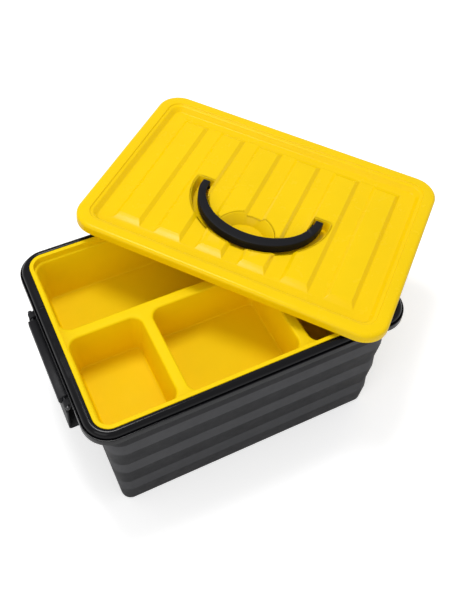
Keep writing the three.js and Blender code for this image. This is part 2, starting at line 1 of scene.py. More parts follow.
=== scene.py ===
# A plastic toolbox: black tub, yellow lift-out tray, loose yellow lid laid askew,
# black bail handle in the lid, and a black flip latch on a pin at each end.
from math import cos, pi, radians, sin

import bmesh
import bpy
import numpy as np
from mathutils import Matrix, Vector


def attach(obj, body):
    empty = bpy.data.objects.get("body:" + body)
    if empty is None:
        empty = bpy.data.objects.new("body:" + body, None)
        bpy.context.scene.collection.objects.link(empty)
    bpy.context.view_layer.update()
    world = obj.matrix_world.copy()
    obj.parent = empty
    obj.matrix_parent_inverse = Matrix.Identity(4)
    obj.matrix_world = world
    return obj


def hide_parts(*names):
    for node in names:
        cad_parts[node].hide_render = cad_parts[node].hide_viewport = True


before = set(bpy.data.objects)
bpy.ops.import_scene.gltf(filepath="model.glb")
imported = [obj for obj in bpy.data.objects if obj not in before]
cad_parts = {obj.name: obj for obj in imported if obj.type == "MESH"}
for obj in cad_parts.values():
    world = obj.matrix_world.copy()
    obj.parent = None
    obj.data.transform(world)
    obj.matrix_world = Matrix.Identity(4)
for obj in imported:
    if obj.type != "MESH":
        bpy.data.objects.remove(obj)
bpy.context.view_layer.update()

photo_width, photo_height = 450, 600
lens_axis_pixel = (205.0, 168.9)
focal_pixels = 869.69
camera_place = Vector((-0.23773, -0.46221, 0.83519))
camera_turn, camera_pitch, camera_roll = radians(26.381), radians(45.26), radians(-1.501)
sensor_millimetres = 36.0

camera_data = bpy.data.cameras.new("photo_camera")
camera = bpy.data.objects.new("photo_camera", camera_data)
bpy.context.collection.objects.link(camera)
camera_data.sensor_fit = "AUTO"
camera_data.sensor_width = sensor_millimetres
camera_data.lens = focal_pixels / photo_height * sensor_millimetres
camera_data.shift_x = (photo_width / 2 - lens_axis_pixel[0]) / photo_height
camera_data.shift_y = (lens_axis_pixel[1] - photo_height / 2) / photo_height
forward = Vector((
    sin(camera_turn) * cos(camera_pitch),
    cos(camera_turn) * cos(camera_pitch),
    -sin(camera_pitch),
))
level_right = Vector((cos(camera_turn), -sin(camera_turn), 0))
level_down = forward.cross(level_right)
right = cos(camera_roll) * level_right + sin(camera_roll) * level_down
down = -sin(camera_roll) * level_right + cos(camera_roll) * level_down
camera.matrix_world = Matrix((
    (right.x, -down.x, -forward.x, camera_place.x),
    (right.y, -down.y, -forward.y, camera_place.y),
    (right.z, -down.z, -forward.z, camera_place.z),
    (0, 0, 0, 1),
))
bpy.context.scene.camera = camera
bpy.context.scene.view_settings.view_transform = "Standard"

# The studio: a white sweep, a small soft box overhead towards the back and a weaker
# one at the front left. Camera rays see the floor a little brighter than it is lit.
floor_size = 12.0
floor_colour = (0.86, 0.86, 0.86, 1)
floor_glow = 0.47
air_strength, backdrop_strength = 0.62, 1.0
overhead_side, overhead_watts = 0.55, 16
front_left_side, front_left_watts = 1.4, 9

floor_mesh = bpy.data.meshes.new("floor")
half_floor = floor_size / 2
floor_mesh.from_pydata(
    [(-half_floor, -half_floor, 0), (half_floor, -half_floor, 0),
     (half_floor, half_floor, 0), (-half_floor, half_floor, 0)],
    [], [(0, 1, 2, 3)],
)
floor = bpy.data.objects.new("floor", floor_mesh)
bpy.context.collection.objects.link(floor)

floor_material = bpy.data.materials.new("white_sweep")
floor_material.use_nodes = True
nodes = floor_material.node_tree.nodes
links = floor_material.node_tree.links
nodes.clear()
floor_output = nodes.new("ShaderNodeOutputMaterial")
floor_add = nodes.new("ShaderNodeAddShader")
floor_diffuse = nodes.new("ShaderNodeBsdfDiffuse")
floor_diffuse.inputs["Color"].default_value = floor_colour
floor_emission = nodes.new("ShaderNodeEmission")
floor_ray = nodes.new("ShaderNodeLightPath")
floor_share = nodes.new("ShaderNodeMath")
floor_share.operation = "MULTIPLY"
floor_share.inputs[1].default_value = floor_glow
links.new(floor_ray.outputs["Is Camera Ray"], floor_share.inputs[0])
links.new(floor_share.outputs[0], floor_emission.inputs["Strength"])
links.new(floor_diffuse.outputs[0], floor_add.inputs[0])
links.new(floor_emission.outputs[0], floor_add.inputs[1])
links.new(floor_add.outputs[0], floor_output.inputs["Surface"])
floor_mesh.materials.append(floor_material)


def soft_box(name, place, aim, side, power):
    data = bpy.data.lights.new(name, "AREA")
    data.shape = "RECTANGLE"
    data.size = data.size_y = side
    data.energy = power
    lamp = bpy.data.objects.new(name, data)
    lamp.location = place
    lamp.rotation_mode = "QUATERNION"
    lamp.rotation_quaternion = (Vector(aim) - Vector(place)).to_track_quat("-Z", "Y")
    bpy.context.collection.objects.link(lamp)


soft_box("overhead_box", (-0.1, 0.5, 1.95), (0.05, 0.05, 0.1), overhead_side, overhead_watts)
soft_box("front_left_box", (-1.5, -1.1, 1.2), (0, 0, 0.1), front_left_side, front_left_watts)

world = bpy.data.worlds.new("studio_air")
world.use_nodes = True
nodes = world.node_tree.nodes
links = world.node_tree.links
world_ray = nodes.new("ShaderNodeLightPath")
world_mix = nodes.new("ShaderNodeMixShader")
air_light = nodes["Background"]
air_light.inputs["Color"].default_value = (1, 1, 1, 1)
air_light.inputs["Strength"].default_value = air_strength
backdrop = nodes.new("ShaderNodeBackground")
backdrop.inputs["Color"].default_value = (1, 1, 1, 1)
backdrop.inputs["Strength"].default_value = backdrop_strength
links.new(world_ray.outputs["Is Camera Ray"], world_mix.inputs["Fac"])
links.new(air_light.outputs[0], world_mix.inputs[1])
links.new(backdrop.outputs[0], world_mix.inputs[2])
links.new(world_mix.outputs[0], nodes["World Output"].inputs["Surface"])
bpy.context.scene.world = world

# The tub: one black polypropylene moulding. Its wall zigzags through three pairs of
# bands, and its flange ends in a hanging skirt, a groove and a glossy rounded bead.
MM = 0.001
rim_length, rim_width, rim_radius, rim_height = 330.0, 225.4, 26.7, 150.8
flange_height = 12.2
wall_inset_ends, wall_inset_sides = 12.6, 7.3
wall_top_radius, wall_base_radius = 20.0, 10.0
wall_thickness, tub_floor = 2.4, 2.5
plain_height, plain_slant_ends, band_slant_ends = 24.6, 3.8, 12.0
band_pairs, light_band_share, band_softness = 3, 0.353, 0.35
light_lean, dark_slant_sides = 1.7, 2.6
shoulder_drop, skirt_height, skirt_thickness, flange_thickness = 6.0, 7.3, 1.8, 2.3
shoulder_width, groove_width, groove_depth = 0.8, 1.0, 1.1
bead_crest_share, bead_inner_drop = 0.35, 0.7
pocket_inset_ends, pocket_inset_sides, pocket_radius = 10.1, 8.35, 16.0
ledge_width, neck_height, lip_thickness, seat_gap = 2.1, 8.0, 2.2, 0.15
notch_half, notch_depth, notch_side, notch_clear, notch_reach = 42.0, 1.2, 0.5, 0.3, 0.1
base_round, base_run, floor_round, floor_run = 2.2, 6.0, 3.0, 8.0
crisp_bend, tight_bend, small_bend, bend, wide_bend = 0.15, 0.2, 0.5, 0.6, 0.8
ledge_bend, inner_bend, foot_bend = 0.4, 1.0, 2.0
least_radius, touch, most_of_side = 0.2, 0.01, 0.49
corner_steps, bend_steps, bead_steps, bead_inner_steps = 14, 4, 9, 4

wall_height = rim_height - flange_height
bands_height = wall_height - plain_height
pair_height = bands_height / band_pairs
shoulder_height = rim_height - shoulder_drop
bead_outer = shoulder_width + groove_width
ledge_height = rim_height - lip_thickness - seat_gap
neck_foot = ledge_height - neck_height


def outline(half_x, half_y, radius, end_stations=()):
    """A rounded rectangle, counterclockwise from its right side, in millimetres."""
    points = []
    for corner in range(4):
        centre_x = (half_x - radius) * (1 if corner in (0, 3) else -1)
        centre_y = (half_y - radius) * (1 if corner < 2 else -1)
        for step in range(corner_steps + 1):
            angle = (corner + step / corner_steps) * pi / 2
            points.append((centre_x + radius * cos(angle), centre_y + radius * sin(angle)))
        if corner == 1:
            points += [(-half_x, y) for y in sorted(end_stations, reverse=True)]
        if corner == 3:
            points += [(half_x, y) for y in sorted(end_stations)]
    return np.array(points)


def softened(path):
    """A path with a short bend at each corner, as long as the last item of its row."""
    path = [np.array(row, float) for row in path]
    rows = [path[0][:-1]]
    for before, corner, after in zip(path, path[1:], path[2:]):
        here, size = corner[:-1], corner[-1]
        if size == 0:
            rows.append(here)
            continue
        into, out = before[:-1] - here, after[:-1] - here
        start = here + into * min(size / np.linalg.norm(into), most_of_side)
        end = here + out * min(size / np.linalg.norm(out), most_of_side)
        for step in range(bend_steps + 1):
            t = step / bend_steps
            rows.append((1 - t) ** 2 * start + 2 * t * (1 - t) * here + t ** 2 * end)
    return rows + [path[-1][:-1]]


def mesh_piece(name, points, faces, smooth_degrees=32):
    mesh = bpy.data.meshes.new(name)
    mesh.from_pydata([tuple(point) for point in np.array(points) * MM], [], faces)
    mesh.validate()
    piece = bpy.data.objects.new(name, mesh)
    bpy.context.collection.objects.link(piece)
    smooth(piece, smooth_degrees)
    return piece


def smooth(piece, degrees):
    piece.data.shade_smooth()
    piece.data.set_sharp_from_angle(angle=radians(degrees))


def lofted(name, rings):
    """A closed skin through rings of equal length, with a flat cap on the first and last."""
    count = len(rings[0])
    points = np.concatenate(rings)
    faces = [tuple(reversed(range(count)))]
    for level in range(len(rings) - 1):
        low, high = level * count, (level + 1) * count
        for here in range(count):
            there = (here + 1) % count
            faces.append((low + here, low + there, high + there, high + here))
    faces.append(tuple(range(len(points) - count, len(points))))
    return mesh_piece(name, points, faces)


def rim_inset(ends, sides, radius, height, stations=()):
    half_x, half_y = rim_length / 2 - ends, rim_width / 2 - sides
    flat = outline(half_x, half_y, max(radius, least_radius), stations)
    return np.column_stack([flat, np.full(len(flat), height)])


def wall_row(light_bands, dark_bands, thickness, softness):
    """A row of the wall, so many light and dark bands down from the bands' top."""
    fall = pair_height * (light_bands * light_band_share + dark_bands * (1 - light_band_share))
    height = bands_height - fall
    radius = wall_base_radius + (wall_top_radius - wall_base_radius) * height / wall_height
    sides = wall_inset_sides + dark_bands * dark_slant_sides - light_bands * light_lean
    ends = wall_inset_ends + plain_slant_ends + band_slant_ends * fall / bands_height
    return [ends + thickness, sides + thickness, radius - thickness, height, softness]


def wall_top_row(thickness):
    ends, sides = wall_inset_ends + thickness, wall_inset_sides + thickness
    return [ends, sides, wall_top_radius - thickness, wall_height, bend]


def bead_row(share, height, softness):
    """A row of the bead: share 0 is on the pocket for the tray's lip, and 1 on the groove."""
    return [
        pocket_inset_ends + share * (bead_outer - pocket_inset_ends),
        pocket_inset_sides + share * (bead_outer - pocket_inset_sides),
        pocket_radius + share * (rim_radius - bead_outer - pocket_radius),
        height,
        softness,
    ]


foot = wall_row(band_pairs, band_pairs, 0, foot_bend)
path = [
    [foot[0] + base_run, foot[1] + base_run, foot[2] - base_run, 0, 0],
    [*foot[:3], 0, base_round],
]
for pair in range(band_pairs, 0, -1):
    path.append(wall_row(pair, pair - 1, 0, band_softness))
    path.append(wall_row(pair - 1, pair - 1, 0, band_softness))
skirt_foot = shoulder_height - skirt_height
skirt_inner = rim_radius - skirt_thickness
bead_rise = rim_height - shoulder_height
neck_outer = pocket_inset_ends + ledge_width - wall_thickness
neck_inner = [
    pocket_inset_ends + ledge_width, pocket_inset_sides + ledge_width, pocket_radius - ledge_width,
]
mid_groove = shoulder_width + groove_width / 2
flange_under = shoulder_height - flange_thickness
path += [
    wall_top_row(0),
    [neck_outer, wall_inset_sides, wall_top_radius, neck_foot, bend],
    [neck_outer, wall_inset_sides, wall_top_radius, flange_under, wide_bend],
    [skirt_thickness, skirt_thickness, skirt_inner, flange_under, bend],
    [skirt_thickness, skirt_thickness, skirt_inner, skirt_foot, small_bend],
    [0, 0, rim_radius, skirt_foot, small_bend],
    [0, 0, rim_radius, shoulder_height, wide_bend],
    [shoulder_width, shoulder_width, rim_radius - shoulder_width, shoulder_height, crisp_bend],
    [mid_groove, mid_groove, rim_radius - mid_groove, shoulder_height - groove_depth, tight_bend],
]
for step in range(bead_steps + 1):
    turn = step / bead_steps * pi / 2
    share = bead_crest_share + (1 - bead_crest_share) * cos(turn)
    path.append(bead_row(share, shoulder_height + bead_rise * sin(turn), 0))
for step in range(1, bead_inner_steps + 1):
    turn = step / bead_inner_steps * pi / 2
    share = bead_crest_share * (1 - sin(turn))
    path.append(bead_row(share, rim_height - bead_inner_drop * (1 - cos(turn)), 0))
path += [
    bead_row(0, ledge_height, tight_bend),
    [*neck_inner, ledge_height, ledge_bend],
    [*neck_inner, neck_foot, bend],
    wall_top_row(wall_thickness),
    wall_row(0, 0, wall_thickness, bend),
]
for pair in range(1, band_pairs + 1):
    low_bend = inner_bend if pair < band_pairs else floor_round
    path.append(wall_row(pair, pair - 1, wall_thickness, inner_bend))
    path.append(wall_row(pair, pair, wall_thickness, low_bend))
ends, sides, radius = path[-1][:3]
path[-1][3] = tub_floor
path.append([ends + floor_run, sides + floor_run, radius - floor_run, tub_floor, 0])

stations = [-notch_half - notch_side, -notch_half, notch_half, notch_half + notch_side]
tub_rings = []
for ends, sides, radius, height in softened(path):
    ring = rim_inset(ends, sides, radius, height, stations)
    across = abs(ring[:, 1]) <= notch_half + touch
    on_bead = ring[:, 2] > shoulder_height + notch_clear
    at_end = abs(ring[:, 0]) > rim_length / 2 - pocket_inset_ends - notch_reach
    in_notch = across & on_bead & at_end
    ring[in_notch, 2] = np.minimum(ring[in_notch, 2], rim_height - notch_depth)
    tub_rings.append(ring)
tub = lofted("tub_moulding", tub_rings)

# Hinge lugs: four plates on the ends below the skirt that carry the latches' pins,
# each rooted in the middle of the wall's thickness.
pin_outset, pin_drop = 2.5, 22.8
pin_x, pin_z = rim_length / 2 + pin_outset, rim_height - pin_drop
lug_inner, lug_width, lug_radius, lug_root, lug_edge, lug_steps = 49.0, 6.5, 2.8, 16.0, 0.4, 12
edge_segments, edge_degrees, crease_degrees = 3, 25, 40


def pressed(name, corners, front, back, edge):
    """A plate cut to an outline in x and z, standing between two places along y."""
    points = [(x, front, z) for x, z in corners] + [(x, back, z) for x, z in corners]
    count = len(corners)
    faces = [tuple(range(count)), tuple(reversed(range(count, 2 * count)))]
    for here in range(count):
        there = (here + 1) % count
        faces.append((here, here + count, there + count, there))
    piece = mesh_piece(name, points, faces)
    outward_faces(piece)
    bevel = piece.modifiers.new("edge", "BEVEL")
    bevel.width = edge * MM
    bevel.segments = edge_segments
    bevel.limit_method = "ANGLE"
    bevel.angle_limit = radians(edge_degrees)
    bevel.harden_normals = False
    settle(piece)
    smooth(piece, crease_degrees)
    return piece


def outward_faces(piece):
    work = bmesh.new()
    work.from_mesh(piece.data)
    bmesh.ops.recalc_face_normals(work, faces=work.faces)
    work.to_mesh(piece.data)
    work.free()


def settle(piece):
    """Turns a piece's modifiers into its mesh."""
    graph = bpy.context.evaluated_depsgraph_get()
    mesh = bpy.data.meshes.new_from_object(piece.evaluated_get(graph))
    piece.modifiers.clear()
    old = piece.data
    piece.data = mesh
    mesh.name = piece.name
    bpy.data.meshes.remove(old)


lugs = []
for end_name, end in (("left", -1), ("right", 1)):
    corners = []
    for root_z in (pin_z + lug_root / 2, pin_z - lug_root / 2):
        slant = plain_slant_ends * (wall_height - root_z) / plain_height
        root_x = rim_length / 2 - wall_inset_ends - slant - wall_thickness / 2
        corners.append((end * root_x, root_z))
    for step in range(lug_steps + 1):
        angle = -pi / 2 + pi * step / lug_steps
        corners.append((end * (pin_x + lug_radius * cos(angle)), pin_z + lug_radius * sin(angle)))
    for side_name, side in (("front", -1), ("back", 1)):
        low_y, high_y = sorted((side * lug_inner, side * (lug_inner + lug_width)))
        lugs.append(pressed(f"hinge_lug_{end_name}_{side_name}", corners, low_y, high_y, lug_edge))


cloud_scale, gloss_scale, grain_depth = 14, 60, 0.00008
gloss_below, gloss_above, lit_share = 0.05, 0.06, 0.6
wear_and_highlight_from, wear_and_highlight_to, wear_and_highlight_most = 0.53, 0.62, 0.55
noise_low, noise_high = 0.3, 0.7


def fine_plastic(
    name, colour, roughness, grain_size=0.0011, grain=0.10, mottle=0.06, wear_and_highlight=0.10, specular=0.5,
):
    """Moulded plastic: soft mottling, a fine spark-eroded grain, convex edges lightened as rubbed
    wear and as a painted highlight, and uneven gloss.
    """
    material = bpy.data.materials.new(name)
    material.use_nodes = True
    nodes, links = material.node_tree.nodes, material.node_tree.links
    shader = nodes["Principled BSDF"]
    shader.inputs["Specular IOR Level"].default_value = specular
    place = nodes.new("ShaderNodeTexCoord")

    def noise(scale, detail, rough=0.55):
        node = nodes.new("ShaderNodeTexNoise")
        node.inputs["Scale"].default_value = scale
        node.inputs["Detail"].default_value = detail
        node.inputs["Roughness"].default_value = rough
        links.new(place.outputs["Object"], node.inputs["Vector"])
        return node.outputs["Fac"]

    def spread(value, low, high, out_low, out_high):
        node = nodes.new("ShaderNodeMapRange")
        ends = {"From Min": low, "From Max": high, "To Min": out_low, "To Max": out_high}
        for socket, number in ends.items():
            node.inputs[socket].default_value = number
        links.new(value, node.inputs["Value"])
        return node.outputs["Result"]

    cloud = nodes.new("ShaderNodeMix")
    cloud.data_type = "RGBA"
    dim = [channel * (1 - mottle) for channel in colour]
    lit = [min(1.0, channel * (1 + mottle * lit_share)) for channel in colour]
    cloud.inputs["A"].default_value = (*dim, 1)
    cloud.inputs["B"].default_value = (*lit, 1)
    clouds = spread(noise(cloud_scale, 3), noise_low, noise_high, 0, 1)
    links.new(clouds, cloud.inputs["Factor"])
    # Convex edges found by pointiness are lightened: partly rubbed wear, partly a painted
    # highlight along rounded edges.
    worn_and_highlit_edges = nodes.new("ShaderNodeMix")
    worn_and_highlit_edges.data_type = "RGBA"
    worn_and_highlit_edges.inputs["B"].default_value = (*[channel + (1 - channel) * wear_and_highlight for channel in colour], 1)
    links.new(cloud.outputs["Result"], worn_and_highlit_edges.inputs["A"])
    edges = nodes.new("ShaderNodeNewGeometry").outputs["Pointiness"]
    links.new(spread(edges, wear_and_highlight_from, wear_and_highlight_to, 0, wear_and_highlight_most), worn_and_highlit_edges.inputs["Factor"])
    links.new(worn_and_highlit_edges.outputs["Result"], shader.inputs["Base Color"])

    gloss = noise(gloss_scale, 4, 0.7)
    uneven = spread(gloss, noise_low, noise_high, roughness - gloss_below, roughness + gloss_above)
    links.new(uneven, shader.inputs["Roughness"])
    bump = nodes.new("ShaderNodeBump")
    bump.inputs["Distance"].default_value = grain_depth
    bump.inputs["Strength"].default_value = grain
    links.new(noise(1 / grain_size, 2), bump.inputs["Height"])
    links.new(bump.outputs["Normal"], shader.inputs["Normal"])
    return material


def coat(piece, *finishes):
    piece.data.materials.clear()
    for finish in finishes:
        piece.data.materials.append(finish)


smooth_plastic = fine_plastic(
    "charcoal_smooth", (0.014, 0.014, 0.016), 0.42, grain=0.05, specular=0.14,
)
# The grained finish: a real coarse grain, and a colour three times lighter than the smooth
# charcoal, which paints the light that the outward-leaning bands catch.
grained_lit_plastic = fine_plastic(
    "charcoal_grained_painted_lit", (0.042, 0.042, 0.046), 0.58, grain_size=0.0009, grain=0.35, specular=0.45,
)
rim_plastic = fine_plastic(
    "black_gloss_rim", (0.003, 0.003, 0.004), 0.16,
    grain_size=0.004, grain=0.3, wear_and_highlight=0.06, specular=0.2,
)
for piece in [tub, *lugs]:
    coat(piece, smooth_plastic, grained_lit_plastic, rim_plastic)
    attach(piece, "tub")
    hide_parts("tub")
lit_band_slot, rim_slot = 1, 2
# Faces of the light bands take the grained finish, so its lighter colour paints the light on them;
# the dark bands and the rest stay smooth charcoal.
for face in tub.data.polygons:
    height = face.center.z / MM
    if height > wall_height:
        face.material_index = rim_slot
    elif height < bands_height and (bands_height - height) / pair_height % 1 < light_band_share:
        face.material_index = lit_band_slot

# The tray: a yellow moulding hung in the rim by its lip, with one long bay behind
# three short ones. Its walls lean in, and every bay's floor curves up into them.
lip_width, lip_edge, lip_bend = 4.0, 0.8, 0.3
tray_thickness, tray_step_depth, tray_step_width = 1.8, 7.0, 2.2
tray_depth, tray_wall_slant, tray_wall_radius = 57.4, 7.4, 11.0
tray_fillet, tray_floor_radius = 2.0, 5.0
divider_width, divider_draft, divider_edge = 11.4, 1.4, 2.2
long_divider_back, left_divider_right, right_divider_right = 11.5, -63.9, 61.9
fit_gap, cutter_spare, hair, tray_crease = 0.3, 1, 0.001, 35
fillet_steps, divider_edge_steps = 8, 6

lip_inset_ends, lip_inset_sides = pocket_inset_ends + fit_gap, pocket_inset_sides + fit_gap
lip_radius = pocket_radius - fit_gap
tray_step = rim_height - tray_step_depth
tray_floor = rim_height - tray_depth
lip_underside = rim_height - lip_thickness


def tray_ring(inward, radius, height):
    return rim_inset(lip_inset_ends + inward, lip_inset_sides + inward, radius, height)


def wall_inward(height):
    lean = tray_wall_slant * (tray_step - height) / (tray_step - tray_floor)
    return lip_width + tray_step_width + lean


def tray_skin(name, path):
    return lofted(name, [tray_ring(*row) for row in softened(path)])


under = tray_floor - tray_thickness
foot_round = tray_fillet + tray_thickness
foot_inward = wall_inward(under + foot_round) - tray_thickness
path = []
for step in range(fillet_steps + 1):
    angle = step / fillet_steps * pi / 2
    path.append([
        foot_inward + foot_round * (1 - sin(angle)),
        tray_floor_radius + tray_thickness + foot_round * sin(angle),
        under + foot_round * (1 - cos(angle)),
        0,
    ])
step_under = tray_step - tray_thickness
step_radius = tray_wall_radius + tray_thickness
neck = lip_width - tray_thickness
path += [
    [wall_inward(step_under) - tray_thickness, step_radius, step_under, bend],
    [neck, lip_radius - neck, step_under, bend],
    [neck, lip_radius - neck, lip_underside, lip_bend],
    [0, lip_radius, lip_underside, lip_bend],
    [0, lip_radius, rim_height, lip_edge],
    [lip_width / 2, lip_radius - lip_width / 2, rim_height, 0],
]
tray = tray_skin("tray_moulding", path)


def cut(piece, cutters, kind="DIFFERENCE"):
    for cutter in cutters:
        step = piece.modifiers.new("cut", "BOOLEAN")
        step.operation = kind
        step.solver = "EXACT"
        step.object = cutter
    settle(piece)
    for cutter in cutters:
        bpy.data.objects.remove(cutter)


neck_radius = lip_radius - lip_width
mouth_flare = 3 * lip_edge
tray_mouth = tray_skin("tray_mouth", [
    [lip_width + cutter_spare, neck_radius - cutter_spare, tray_step, 0],
    [lip_width, neck_radius, tray_step, small_bend],
    [lip_width, neck_radius, rim_height, lip_edge],
    [lip_width - mouth_flare, neck_radius + mouth_flare, rim_height + hair, 0],
    [lip_width - mouth_flare, neck_radius + mouth_flare, rim_height + cutter_spare, 0],
])


def bay_ring(bay, height, extra, flare, radius):
    inward = wall_inward(min(height, tray_step)) + extra - flare / 2
    wall_x = rim_length / 2 - lip_inset_ends - inward
    wall_y = rim_width / 2 - lip_inset_sides - inward
    draft = divider_draft * (tray_step - height) / (tray_step - tray_floor) + extra - flare
    left, right, front, back = bay
    left = -wall_x if left is None else left + draft
    right = wall_x if right is None else right - draft
    front = -wall_y if front is None else front + draft
    back = wall_y if back is None else back - draft
    flat = outline((right - left) / 2, (back - front) / 2, radius)
    flat += ((left + right) / 2, (front + back) / 2)
    return np.column_stack([flat, np.full(len(flat), height)])


def bay_space(name, bay):
    rings = []
    for step in range(fillet_steps + 1):
        angle = step / fillet_steps * pi / 2
        lift = tray_fillet * (1 - cos(angle))
        rings.append(bay_ring(
            bay, tray_floor + lift, tray_fillet * (1 - sin(angle)), 0,
            tray_floor_radius + tray_fillet * sin(angle),
        ))
    for step in range(divider_edge_steps + 1):
        angle = step / divider_edge_steps * pi / 2
        height = tray_step - divider_edge * (1 - sin(angle))
        rings.append(bay_ring(bay, height, 0, divider_edge * (1 - cos(angle)), tray_wall_radius))
    rings.append(bay_ring(bay, tray_step + cutter_spare, 0, divider_edge, tray_wall_radius))
    return lofted(name, rings)


def under_divider(name, left, right, front, back):
    rings = []
    for height in (under - cutter_spare, tray_step - tray_thickness):
        draft = divider_draft * (tray_step - height) / (tray_step - tray_floor)
        inner = tray_thickness - draft
        wall_x = rim_length / 2 - lip_inset_ends - wall_inward(height)
        wall_y = rim_width / 2 - lip_inset_sides - wall_inward(height)
        sides = [
            -wall_x if left is None else left + inner,
            wall_x if right is None else right - inner,
            -wall_y if front is None else front + inner,
            back - inner,
        ]
        flat = outline((sides[1] - sides[0]) / 2, (sides[3] - sides[2]) / 2, tray_thickness / 2)
        flat += ((sides[0] + sides[1]) / 2, (sides[2] + sides[3]) / 2)
        rings.append(np.column_stack([flat, np.full(len(flat), height)]))
    return lofted(name, rings)


long_divider_front = long_divider_back - divider_width
left_divider_left = left_divider_right - divider_width
right_divider_left = right_divider_right - divider_width
join = long_divider_back - divider_width / 2
cut(tray, [
    tray_mouth,
    bay_space("back_bay", (None, None, long_divider_back, None)),
    bay_space("left_bay", (None, left_divider_left, None, long_divider_front)),
    bay_space("middle_bay", (left_divider_right, right_divider_left, None, long_divider_front)),
    bay_space("right_bay", (right_divider_right, None, None, long_divider_front)),
    under_divider("under_long_divider", None, None, long_divider_front, long_divider_back),
    under_divider("under_left_divider", left_divider_left, left_divider_right, None, join),
    under_divider("under_right_divider", right_divider_left, right_divider_right, None, join),
])
smooth(tray, tray_crease)

yellow_plastic = fine_plastic(
    "warm_yellow_polypropylene", (0.90, 0.63, 0.001), 0.5,
    grain=0.06, mottle=0.03, wear_and_highlight=0.03, specular=0.08,
)
coat(tray, yellow_plastic)
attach(tray, "tray")
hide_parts("tray")

# The lid: the same yellow plastic, a raised border round a sunk panel with six
# hollow ribs. It is off its seat, and leans on the rim's bead at three places.
lid_length, lid_width, lid_radius, lid_height = 330.3, 235.8, 26.1, 10.5
lid_thickness, lid_rounding = 2.0, 4.0
border_width, border_step_width, border_step_depth = 12.7, 0.7, 1.5
border_ledge_width, border_ledge_drop = 2.8, 0.6
panel_inset, panel_radius, panel_height = 20.5, 8.0, 2.9
rib_count, rib_pitch, rib_width, rib_length, rib_height = 6, 45.4, 21.8, 161.2, 3.5
rib_side_run, rib_end_run, rib_corner = 4.1, 7.0, 0.6
pan_depth, pan_draft_length, pan_draft_width = 7.3, 2.5, 4.0
pan_front_gap, pan_side_gap, pan_inner_gap = 5.0, 7.5, 2.5
pan_end_gap, pan_end_draft, pan_end_radius = 4.8, 2.0, 3.5
scoop_radius, scoop_slope, scoop_y = 30.0, 8.0, -48.0
handle_length, handle_reach, handle_tip, handle_grip = 136.0, 60.5, 8.0, 11.9
handle_thickness, handle_rise = 10.6, 4.1
pivot_y, pivot_rise, tip_radius = -1.0, 2.5, 4.0
lid_inset_right, lid_inset_back, lid_turn = 74.3, 47.3, radians(-49.66)
edge_rest_ahead, panel_rest_behind, pan_rest_left = 157.6, 8.3, 39.0
under_share, border_under_share, edge_inner_bend, edge_outer_bend = 0.6, 0.4, 0.3, 0.4
border_bend, step_bend, ledge_end_bend, panel_bend = 0.55, 0.45, 0.9, 1.2
panel_run, rounding_steps, rib_run, rib_foot_drop = 3, 6, 3, 0.05
oval_points, upper_edge, upper_edge_steps, lid_crease = 112, 0.5, 4, 30

rib_top = panel_height + rib_height
pan_floor = panel_height - pan_depth
crest_x = rim_length / 2 - pocket_inset_ends + bead_crest_share * (pocket_inset_ends - bead_outer)
crest_y = rim_width / 2 - pocket_inset_sides + bead_crest_share * (pocket_inset_sides - bead_outer)
crest = rim_height + seat_gap
middle = Vector((rim_length / 2 - lid_inset_right, rim_width / 2 - lid_inset_back, 0))
edge_rest = Vector((crest_x, middle.y - edge_rest_ahead, crest))
panel_under, pan_under = panel_height - lid_thickness, pan_floor - lid_thickness
panel_rest = Vector((crest_x, middle.y + panel_rest_behind, crest - panel_under))
pan_rest = Vector((middle.x - pan_rest_left, crest_y, crest - pan_under))
lid_up = (panel_rest - edge_rest).cross(pan_rest - edge_rest).normalized()
middle.z = edge_rest.z - ((middle - edge_rest).xy @ lid_up.xy) / lid_up.z
lid_place = Matrix.Translation(middle)
lid_place @= Vector((0, 0, 1)).rotation_difference(lid_up).to_matrix().to_4x4()
lid_place @= Matrix.Rotation(lid_turn, 4, "Z")
metres = Matrix.Scale(MM, 4)


def laid_on_rim(piece):
    """Takes a piece from the lid's own frame to where the lid lies."""
    piece.data.transform(metres @ lid_place @ metres.inverted())


def lid_ring(inset, height):
    radius = lid_radius - inset * (lid_radius - panel_radius) / panel_inset
    flat = outline(lid_length / 2 - inset, lid_width / 2 - inset, radius)
    return np.column_stack([flat, np.full(len(flat), height)])


ledge_inset = border_width + border_step_width + border_ledge_width
ledge_top = lid_height - border_step_depth
ledge_end = ledge_top - border_ledge_drop
border_under = lid_height - lid_thickness
lid_rows = [
    [panel_inset + panel_run, panel_under, 0],
    [panel_inset - lid_thickness * under_share, panel_under, inner_bend],
    [ledge_inset - lid_thickness * under_share, ledge_end - lid_thickness, wide_bend],
    [border_width - lid_thickness * border_under_share, border_under, bend],
    [lid_thickness, border_under, inner_bend],
    [lid_thickness, 0, edge_inner_bend],
    [0, 0, edge_outer_bend],
]
for step in range(rounding_steps + 1):
    turn = step * pi / (2 * rounding_steps)
    height = lid_height - lid_rounding * (1 - sin(turn))
    lid_rows.append([lid_rounding * (1 - cos(turn)), height, 0])
lid_rows += [
    [border_width, lid_height, border_bend],
    [border_width + border_step_width, ledge_top, step_bend],
    [ledge_inset, ledge_end, ledge_end_bend],
    [panel_inset, panel_height, panel_bend],
    [panel_inset + panel_run, panel_height, 0],
]
lid = lofted("lid_moulding", [lid_ring(*row) for row in softened(lid_rows)])


def rib_skin(name, centre, path):
    rings = []
    for grow_sides, grow_ends, height in softened(path):
        half_width = rib_width / 2 + grow_sides
        half_length = rib_length / 2 + grow_ends
        flat = outline(half_width, half_length, rib_corner)
        flat[:, 0] += centre
        rings.append(np.column_stack([flat, np.full(len(flat), height)]))
    return lofted(name, rings)


rib_places = [(rank - (rib_count - 1) / 2) * rib_pitch for rank in range(rib_count)]


def rib_form(name, centre):
    return rib_skin(name, centre, [
        [rib_side_run, rib_end_run, panel_height - cutter_spare, 0],
        [rib_side_run, rib_end_run, panel_height - rib_foot_drop, 0],
        [0, 0, rib_top, bend],
        [-rib_run, -rib_run, rib_top, 0],
    ])


